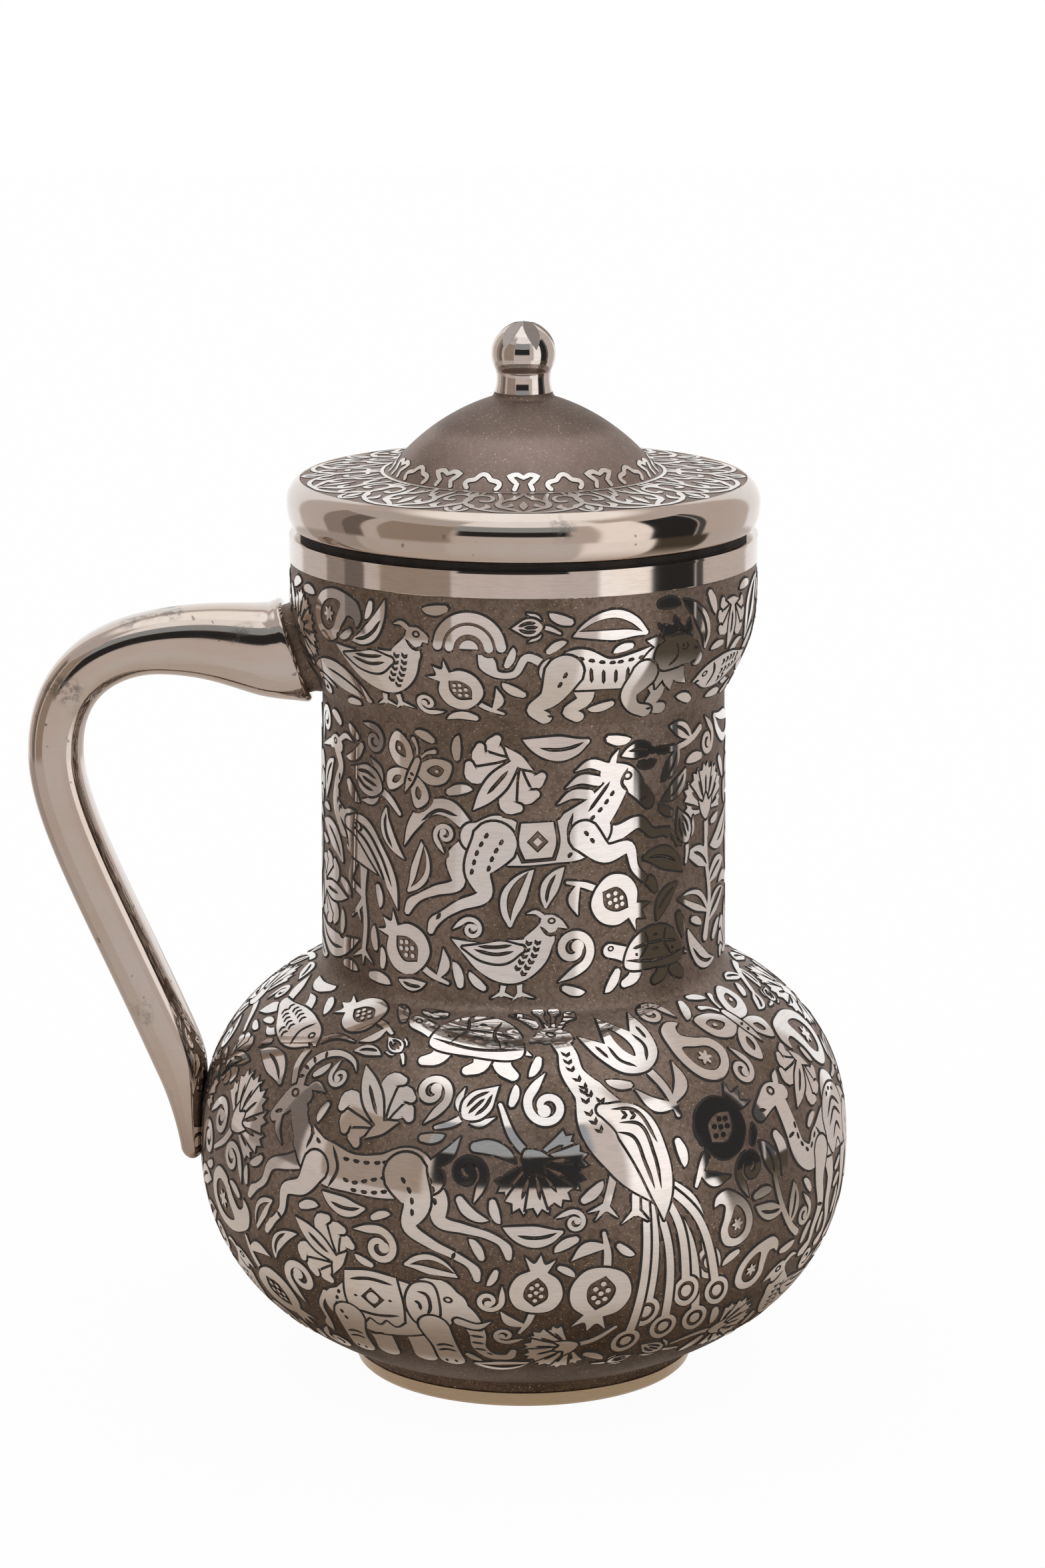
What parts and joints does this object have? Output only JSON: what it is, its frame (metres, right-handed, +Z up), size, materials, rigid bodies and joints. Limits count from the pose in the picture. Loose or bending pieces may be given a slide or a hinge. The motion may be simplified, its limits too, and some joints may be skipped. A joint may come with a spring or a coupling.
{
  "type": "lidded glass jug",
  "caption": "Lidded jug with a squat round bulb, straight neck, flared collar, applied loop handle and a lift-off domed lid with a star-cut knob.",
  "frame": {"origin": "centre of the ring that the foot rests on, on the jug's axis", "axes": "+Z up along the jug's axis, -X towards the handle"},
  "size_m": [0.1942, 0.1544, 0.2508],
  "materials": {
    "matt_ground": "acid-etched glass under a thin metal film, matt brown-grey with fine sparkle",
    "platinum_lustre": "polished glass under platinum lustre, mirror-bright with a warm pinkish-grey tint"
  },
  "bodies": {
    "jug": {"vessel": "matt_ground", "foot": "matt_ground", "handle_seat": "matt_ground", "handle": "platinum_lustre"},
    "lid": {"lid": "matt_ground", "knob": "platinum_lustre"}
  },
  "joints": [
    {"name": "lid_lift", "type": "slide", "parent": "jug", "child": "lid", "axis": [0, 0, 1], "range_m": [0, 0.06]}
  ]
}
